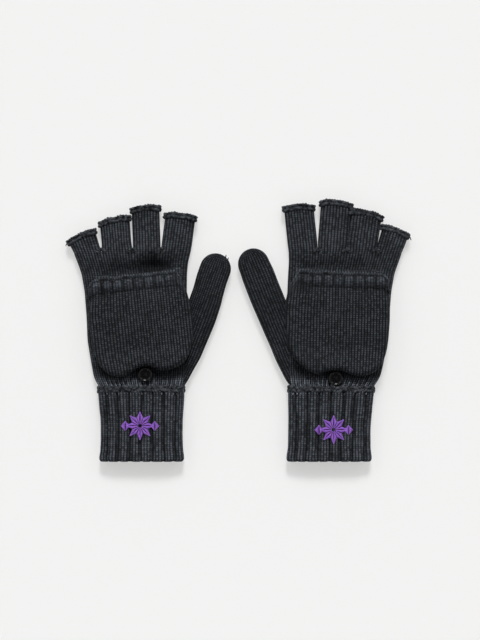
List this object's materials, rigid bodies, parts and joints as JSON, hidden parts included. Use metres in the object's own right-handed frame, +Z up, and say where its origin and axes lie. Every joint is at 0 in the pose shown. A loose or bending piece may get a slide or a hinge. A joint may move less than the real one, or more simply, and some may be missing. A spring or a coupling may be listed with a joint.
{
  "type": "convertible flip-top mittens",
  "caption": "Pair of black knitted half-finger gloves with fold-back mitten flaps, cord loops, buttons, turned-up ribbed cuffs and a small embroidered star.",
  "frame": {"origin": "on the table, under the middle of the pair's bounding box", "axes": "+X across the pair from the left mitten to the right, +Y from the cuffs to the fingertips, +Z up out of the backs of the hands"},
  "size_m": [0.3041, 0.232, 0.0224],
  "materials": {
    "body_knit": "soft matt stockinette of thick wool yarn",
    "rib_knit": "soft matt two by two rib of thick wool yarn",
    "edge_yarn": "chained cast-off yarn, slightly fuzzy",
    "button_resin": "polished",
    "sewing_thread": "tight twisted thread",
    "elastic_cord": "braided elastic cord",
    "embroidery_thread": "glossy satin stitch",
    "backing_fleece": "matt non-woven backing"
  },
  "bodies": {
    "left_mitten": {"left_cuff_inner": "rib_knit", "left_cuff_turnup": "rib_knit", "left_cuff_edge": "edge_yarn", "left_hand_shell": "body_knit", "left_thumb_tube": "body_knit", "left_thumb_knot": "body_knit", "left_index_tube": "body_knit", "left_middle_tube": "body_knit", "left_ring_tube": "body_knit", "left_little_tube": "body_knit", "left_index_edge": "edge_yarn", "left_middle_edge": "edge_yarn", "left_ring_edge": "edge_yarn", "left_little_edge": "edge_yarn", "left_flap_seam": "body_knit", "left_button_shank": "sewing_thread", "left_motif": "embroidery_thread", "left_motif_backing": "backing_fleece"},
    "left_flap": {"left_flap_pocket": "body_knit", "left_flap_welt": "rib_knit", "left_loop_tack": "sewing_thread"},
    "left_button_disc": {"left_button": "button_resin", "left_button_thread": "sewing_thread"},
    "left_loop": {"left_cord_loop": "elastic_cord"},
    "right_mitten": {"right_cuff_inner": "rib_knit", "right_cuff_turnup": "rib_knit", "right_cuff_edge": "edge_yarn", "right_hand_shell": "body_knit", "right_thumb_tube": "body_knit", "right_thumb_knot": "body_knit", "right_index_tube": "body_knit", "right_middle_tube": "body_knit", "right_ring_tube": "body_knit", "right_little_tube": "body_knit", "right_index_edge": "edge_yarn", "right_middle_edge": "edge_yarn", "right_ring_edge": "edge_yarn", "right_little_edge": "edge_yarn", "right_flap_seam": "body_knit", "right_button_shank": "sewing_thread", "right_motif": "embroidery_thread", "right_motif_backing": "backing_fleece"},
    "right_flap": {"right_flap_pocket": "body_knit", "right_flap_welt": "rib_knit", "right_loop_tack": "sewing_thread"},
    "right_button_disc": {"right_button": "button_resin", "right_button_thread": "sewing_thread"},
    "right_loop": {"right_cord_loop": "elastic_cord"}
  },
  "joints": [
    {"name": "right_mitten_apart", "type": "slide", "parent": "left_mitten", "child": "right_mitten", "axis": [1, 0, 0], "range_m": [0, 0.1]},
    {"name": "left_flap_flip", "type": "hinge", "parent": "left_mitten", "child": "left_flap", "pos_m": [-0.0887, 0.0523, 0.01745], "axis": [-0.9945, -0.1045, 0], "range_deg": [0, 180], "deforming": ["left_flap_seam", "left_cord_loop"]},
    {"name": "left_loop_swing", "type": "hinge", "parent": "left_flap", "child": "left_loop", "pos_m": [-0.08289, -0.02974, 0.0157], "axis": [-0.9945, -0.1045, 0], "range_deg": [0, 100], "deforming": ["left_cord_loop"]},
    {"name": "left_button_tilt", "type": "hinge", "parent": "left_mitten", "child": "left_button_disc", "pos_m": [-0.0819, -0.0392, 0.0142], "axis": [1, 0, 0], "range_deg": [-12, 12], "stiffness_Nm_per_rad": 0.002, "deforming": ["left_button_shank", "left_cord_loop"]},
    {"name": "right_flap_flip", "type": "hinge", "parent": "right_mitten", "child": "right_flap", "pos_m": [0.0891, 0.0545, 0.01745], "axis": [-0.9997, 0.0262, 0], "range_deg": [0, 180], "deforming": ["right_flap_seam", "right_cord_loop"]},
    {"name": "right_loop_swing", "type": "hinge", "parent": "right_flap", "child": "right_loop", "pos_m": [0.08653, -0.03386, 0.0157], "axis": [-0.9997, 0.0262, 0], "range_deg": [0, 100], "deforming": ["right_cord_loop"]},
    {"name": "right_button_tilt", "type": "hinge", "parent": "right_mitten", "child": "right_button_disc", "pos_m": [0.0863, -0.0427, 0.0142], "axis": [1, 0, 0], "range_deg": [-12, 12], "stiffness_Nm_per_rad": 0.002, "deforming": ["right_button_shank", "right_cord_loop"]}
  ]
}
